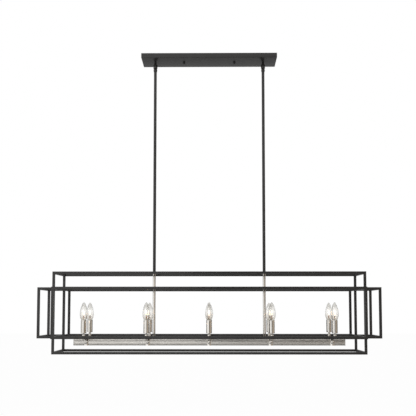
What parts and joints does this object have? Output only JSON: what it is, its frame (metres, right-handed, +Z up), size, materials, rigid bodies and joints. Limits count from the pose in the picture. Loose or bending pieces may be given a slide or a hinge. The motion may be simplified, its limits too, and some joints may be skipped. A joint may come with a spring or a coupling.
{
  "type": "linear island pendant light",
  "caption": "Long black open-frame island pendant: interlocking box frames on rods, nickel bar of paired candle lights with clear torpedo bulbs.",
  "frame": {"origin": "on the ceiling plane, over the middle of the canopy and its mounting crossbar", "axes": "+X along the canopy and the frames, +Y from the front to the back, +Z up into the ceiling"},
  "size_m": [1.524, 0.358, 1.3722],
  "materials": {
    "satin_black": "satin",
    "polished_nickel": "polished",
    "zinc_steel": "satin",
    "green_steel": "gloss",
    "dark_phenolic": "matte",
    "brass": "satin",
    "clear_glass": "clear"
  },
  "bodies": {
    "ceiling_canopy": {"canopy_shell": "satin_black", "mounting_crossbar": "zinc_steel", "ground_screw": "green_steel", "canopy_studs": "zinc_steel", "stud_lock_nuts": "zinc_steel", "swivel_nipples": "zinc_steel", "swivel_washers": "zinc_steel", "swivel_lock_nuts": "zinc_steel", "swivel_housings": "satin_black"},
    "pendant": {"swivel_balls": "satin_black", "rod_ferrules": "satin_black", "rod_joint_studs": "zinc_steel", "rod_washers": "satin_black", "tall_frame_front": "satin_black", "tall_frame_back": "satin_black", "tall_frame_crossbars": "satin_black", "long_frame_front": "satin_black", "long_frame_back": "satin_black", "long_frame_crossbars": "satin_black", "deep_frame_front": "satin_black", "deep_frame_back": "satin_black", "deep_frame_crossbars": "satin_black", "rod_straps": "satin_black", "through_nipples": "zinc_steel", "lower_rod_left": "polished_nickel", "lower_rod_right": "polished_nickel", "lower_rod_collars": "polished_nickel", "bar_nipples": "zinc_steel", "bar_lock_nuts": "zinc_steel", "light_bar": "polished_nickel", "light_bar_end_caps": "polished_nickel", "arm_saddles": "polished_nickel", "saddle_bolts": "zinc_steel", "saddle_cap_nuts": "polished_nickel", "cross_arms": "polished_nickel", "arm_ends": "polished_nickel", "candle_feet": "polished_nickel", "candle_sleeves": "polished_nickel", "socket_nipples": "zinc_steel", "lamp_sockets": "dark_phenolic", "socket_contacts": "brass", "rod_left_section_1": "satin_black", "rod_left_section_2": "satin_black", "rod_left_section_3": "satin_black", "rod_right_section_1": "satin_black", "rod_right_section_2": "satin_black", "rod_right_section_3": "satin_black"},
    "cap_nut_left": {"canopy_nut_left": "satin_black"},
    "cap_nut_right": {"canopy_nut_right": "satin_black"},
    "lamp_1_front": {"bulb_1_front": "clear_glass"},
    "lamp_1_back": {"bulb_1_back": "clear_glass"},
    "lamp_2_front": {"bulb_2_front": "clear_glass"},
    "lamp_2_back": {"bulb_2_back": "clear_glass"},
    "lamp_3_front": {"bulb_3_front": "clear_glass"},
    "lamp_3_back": {"bulb_3_back": "clear_glass"},
    "lamp_4_front": {"bulb_4_front": "clear_glass"},
    "lamp_4_back": {"bulb_4_back": "clear_glass"},
    "lamp_5_front": {"bulb_5_front": "clear_glass"},
    "lamp_5_back": {"bulb_5_back": "clear_glass"}
  },
  "joints": [
    {"name": "pendant_swing", "type": "hinge", "parent": "ceiling_canopy", "child": "pendant", "pos_m": [0, 0, -0.043], "axis": [1, 0, 0], "range_deg": [-15, 15]},
    {"name": "cap_nut_left_turn", "type": "hinge", "parent": "ceiling_canopy", "child": "cap_nut_left", "pos_m": [-0.1175, 0, -0.026], "axis": [0, 0, -1], "range_deg": [0, 720]},
    {"name": "cap_nut_right_turn", "type": "hinge", "parent": "ceiling_canopy", "child": "cap_nut_right", "pos_m": [0.1175, 0, -0.026], "axis": [0, 0, -1], "range_deg": [0, 720]},
    {"name": "lamp_1_front_turn", "type": "hinge", "parent": "pendant", "child": "lamp_1_front", "pos_m": [-0.558, -0.0775, -1.2347], "axis": [0, 0, 1], "range_deg": [0, 1080]},
    {"name": "lamp_1_back_turn", "type": "hinge", "parent": "pendant", "child": "lamp_1_back", "pos_m": [-0.558, 0.0775, -1.2347], "axis": [0, 0, 1], "range_deg": [0, 1080]},
    {"name": "lamp_2_front_turn", "type": "hinge", "parent": "pendant", "child": "lamp_2_front", "pos_m": [-0.279, -0.0775, -1.2347], "axis": [0, 0, 1], "range_deg": [0, 1080]},
    {"name": "lamp_2_back_turn", "type": "hinge", "parent": "pendant", "child": "lamp_2_back", "pos_m": [-0.279, 0.0775, -1.2347], "axis": [0, 0, 1], "range_deg": [0, 1080]},
    {"name": "lamp_3_front_turn", "type": "hinge", "parent": "pendant", "child": "lamp_3_front", "pos_m": [0, -0.0775, -1.2347], "axis": [0, 0, 1], "range_deg": [0, 1080]},
    {"name": "lamp_3_back_turn", "type": "hinge", "parent": "pendant", "child": "lamp_3_back", "pos_m": [0, 0.0775, -1.2347], "axis": [0, 0, 1], "range_deg": [0, 1080]},
    {"name": "lamp_4_front_turn", "type": "hinge", "parent": "pendant", "child": "lamp_4_front", "pos_m": [0.279, -0.0775, -1.2347], "axis": [0, 0, 1], "range_deg": [0, 1080]},
    {"name": "lamp_4_back_turn", "type": "hinge", "parent": "pendant", "child": "lamp_4_back", "pos_m": [0.279, 0.0775, -1.2347], "axis": [0, 0, 1], "range_deg": [0, 1080]},
    {"name": "lamp_5_front_turn", "type": "hinge", "parent": "pendant", "child": "lamp_5_front", "pos_m": [0.558, -0.0775, -1.2347], "axis": [0, 0, 1], "range_deg": [0, 1080]},
    {"name": "lamp_5_back_turn", "type": "hinge", "parent": "pendant", "child": "lamp_5_back", "pos_m": [0.558, 0.0775, -1.2347], "axis": [0, 0, 1], "range_deg": [0, 1080]}
  ]
}
